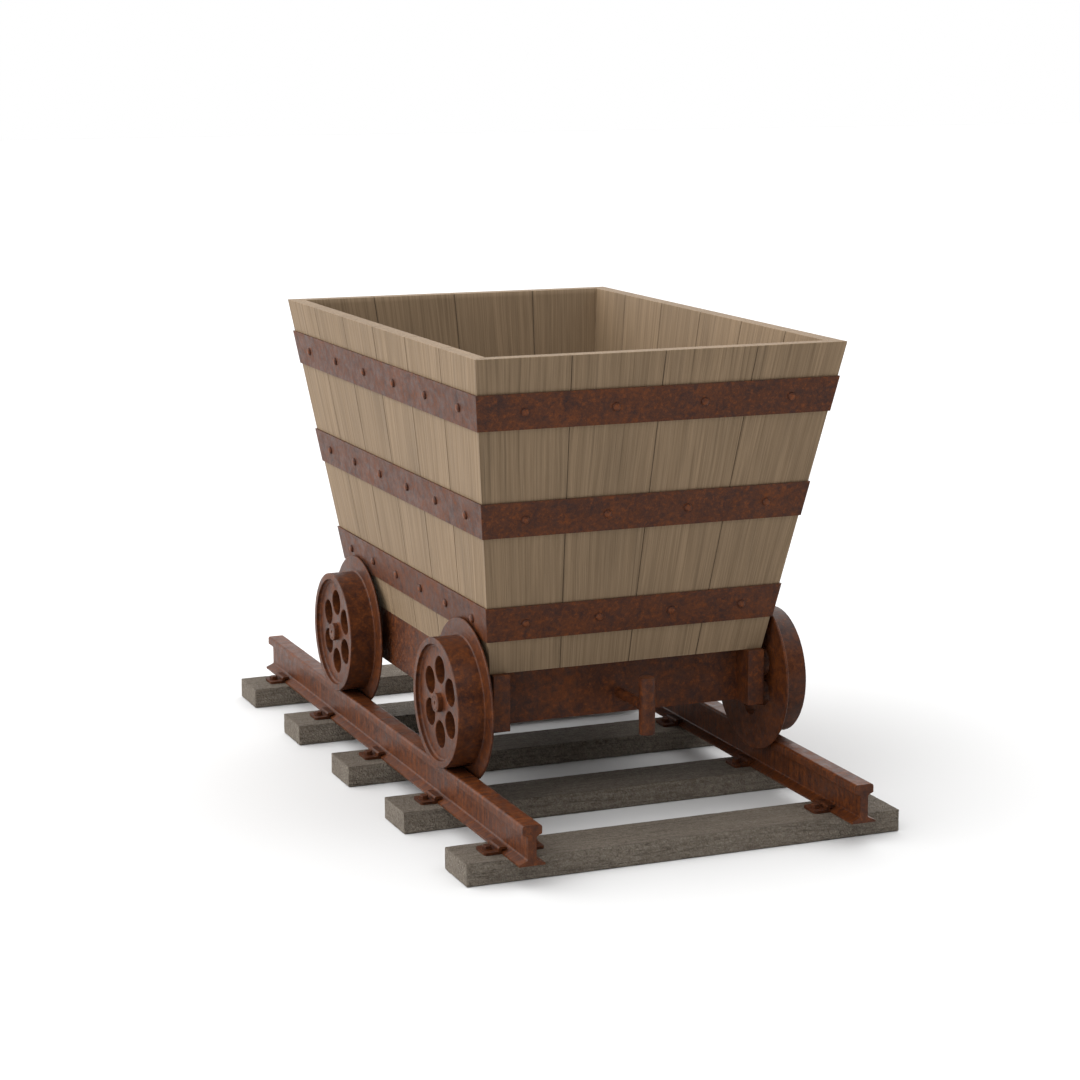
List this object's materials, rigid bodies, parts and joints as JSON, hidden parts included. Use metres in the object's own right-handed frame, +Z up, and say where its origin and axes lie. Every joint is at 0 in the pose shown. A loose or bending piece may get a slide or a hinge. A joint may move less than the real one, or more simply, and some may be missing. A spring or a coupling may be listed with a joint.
{
  "type": "mine cart",
  "caption": "Flared wooden tub with riveted iron bands on an iron underframe with flanged wheels, rolling on a short length of narrow-gauge track.",
  "frame": {"origin": "on the ground under the middle of the track panel", "axes": "+X to the cart's right side, the track runs along Y with the cart's front facing -Y, +Z up"},
  "size_m": [0.851, 1.526, 0.896],
  "materials": {
    "tub_wood": "weathered sawn timber, matt",
    "sleeper_wood": "weathered grey-brown timber, rough",
    "band_iron": "dark red-brown rust, dull sheen",
    "frame_iron": "mottled orange-brown rust",
    "wheel_iron": "rust with worn satin faces",
    "rail_iron": "rust with a satin running surface",
    "fastener_iron": "dark rust",
    "bush_bronze": "oiled bearing bronze"
  },
  "bodies": {
    "track": {"clip_screws": "fastener_iron", "rail_clips": "fastener_iron", "rail_left": "rail_iron", "rail_right": "rail_iron", "sleeper_1": "sleeper_wood", "sleeper_2": "sleeper_wood", "sleeper_3": "sleeper_wood", "sleeper_4": "sleeper_wood", "sleeper_5": "sleeper_wood"},
    "cart": {"band_bottom": "band_iron", "band_middle": "band_iron", "band_rivets": "band_iron", "band_top": "band_iron", "bush_front_left": "bush_bronze", "bush_front_right": "bush_bronze", "bush_rear_left": "bush_bronze", "bush_rear_right": "bush_bronze", "corner_brackets": "frame_iron", "cross_bearer": "frame_iron", "drawbar_front": "frame_iron", "drawbar_nuts": "fastener_iron", "drawbar_rear": "frame_iron", "floor_board_1": "tub_wood", "floor_board_2": "tub_wood", "floor_board_3": "tub_wood", "floor_board_4": "tub_wood", "floor_screws": "fastener_iron", "frame_bolts": "fastener_iron", "front_plank_1": "tub_wood", "front_plank_2": "tub_wood", "front_plank_3": "tub_wood", "front_plank_4": "tub_wood", "headstock_front": "frame_iron", "headstock_rear": "frame_iron", "hitch_post_front": "frame_iron", "hitch_post_rear": "frame_iron", "left_side_plank_1": "tub_wood", "left_side_plank_2": "tub_wood", "left_side_plank_3": "tub_wood", "left_side_plank_4": "tub_wood", "left_side_plank_5": "tub_wood", "left_side_plank_6": "tub_wood", "rear_plank_1": "tub_wood", "rear_plank_2": "tub_wood", "rear_plank_3": "tub_wood", "rear_plank_4": "tub_wood", "right_side_plank_1": "tub_wood", "right_side_plank_2": "tub_wood", "right_side_plank_3": "tub_wood", "right_side_plank_4": "tub_wood", "right_side_plank_5": "tub_wood", "right_side_plank_6": "tub_wood", "sill_left": "frame_iron", "sill_right": "frame_iron"},
    "wheelset_front": {"axle_front": "wheel_iron", "wheel_front_left": "wheel_iron", "wheel_front_right": "wheel_iron"},
    "wheelset_rear": {"axle_rear": "wheel_iron", "wheel_rear_left": "wheel_iron", "wheel_rear_right": "wheel_iron"}
  },
  "joints": [
    {"name": "cart_roll", "type": "slide", "parent": "track", "child": "cart", "axis": [0, 1, 0], "range_m": [-0.37, 0.47]},
    {"name": "front_wheels_turn", "type": "hinge", "parent": "cart", "child": "wheelset_front", "pos_m": [0, -0.36, 0.2353], "axis": [1, 0, 0], "continuous": true},
    {"name": "rear_wheels_turn", "type": "hinge", "parent": "cart", "child": "wheelset_rear", "pos_m": [0, 0.2565, 0.2353], "axis": [1, 0, 0], "continuous": true}
  ],
  "couplings": [
    {"joint": "front_wheels_turn", "follows": "cart_roll", "rad_per_m": -8.2645},
    {"joint": "rear_wheels_turn", "follows": "cart_roll", "rad_per_m": -8.2645}
  ]
}
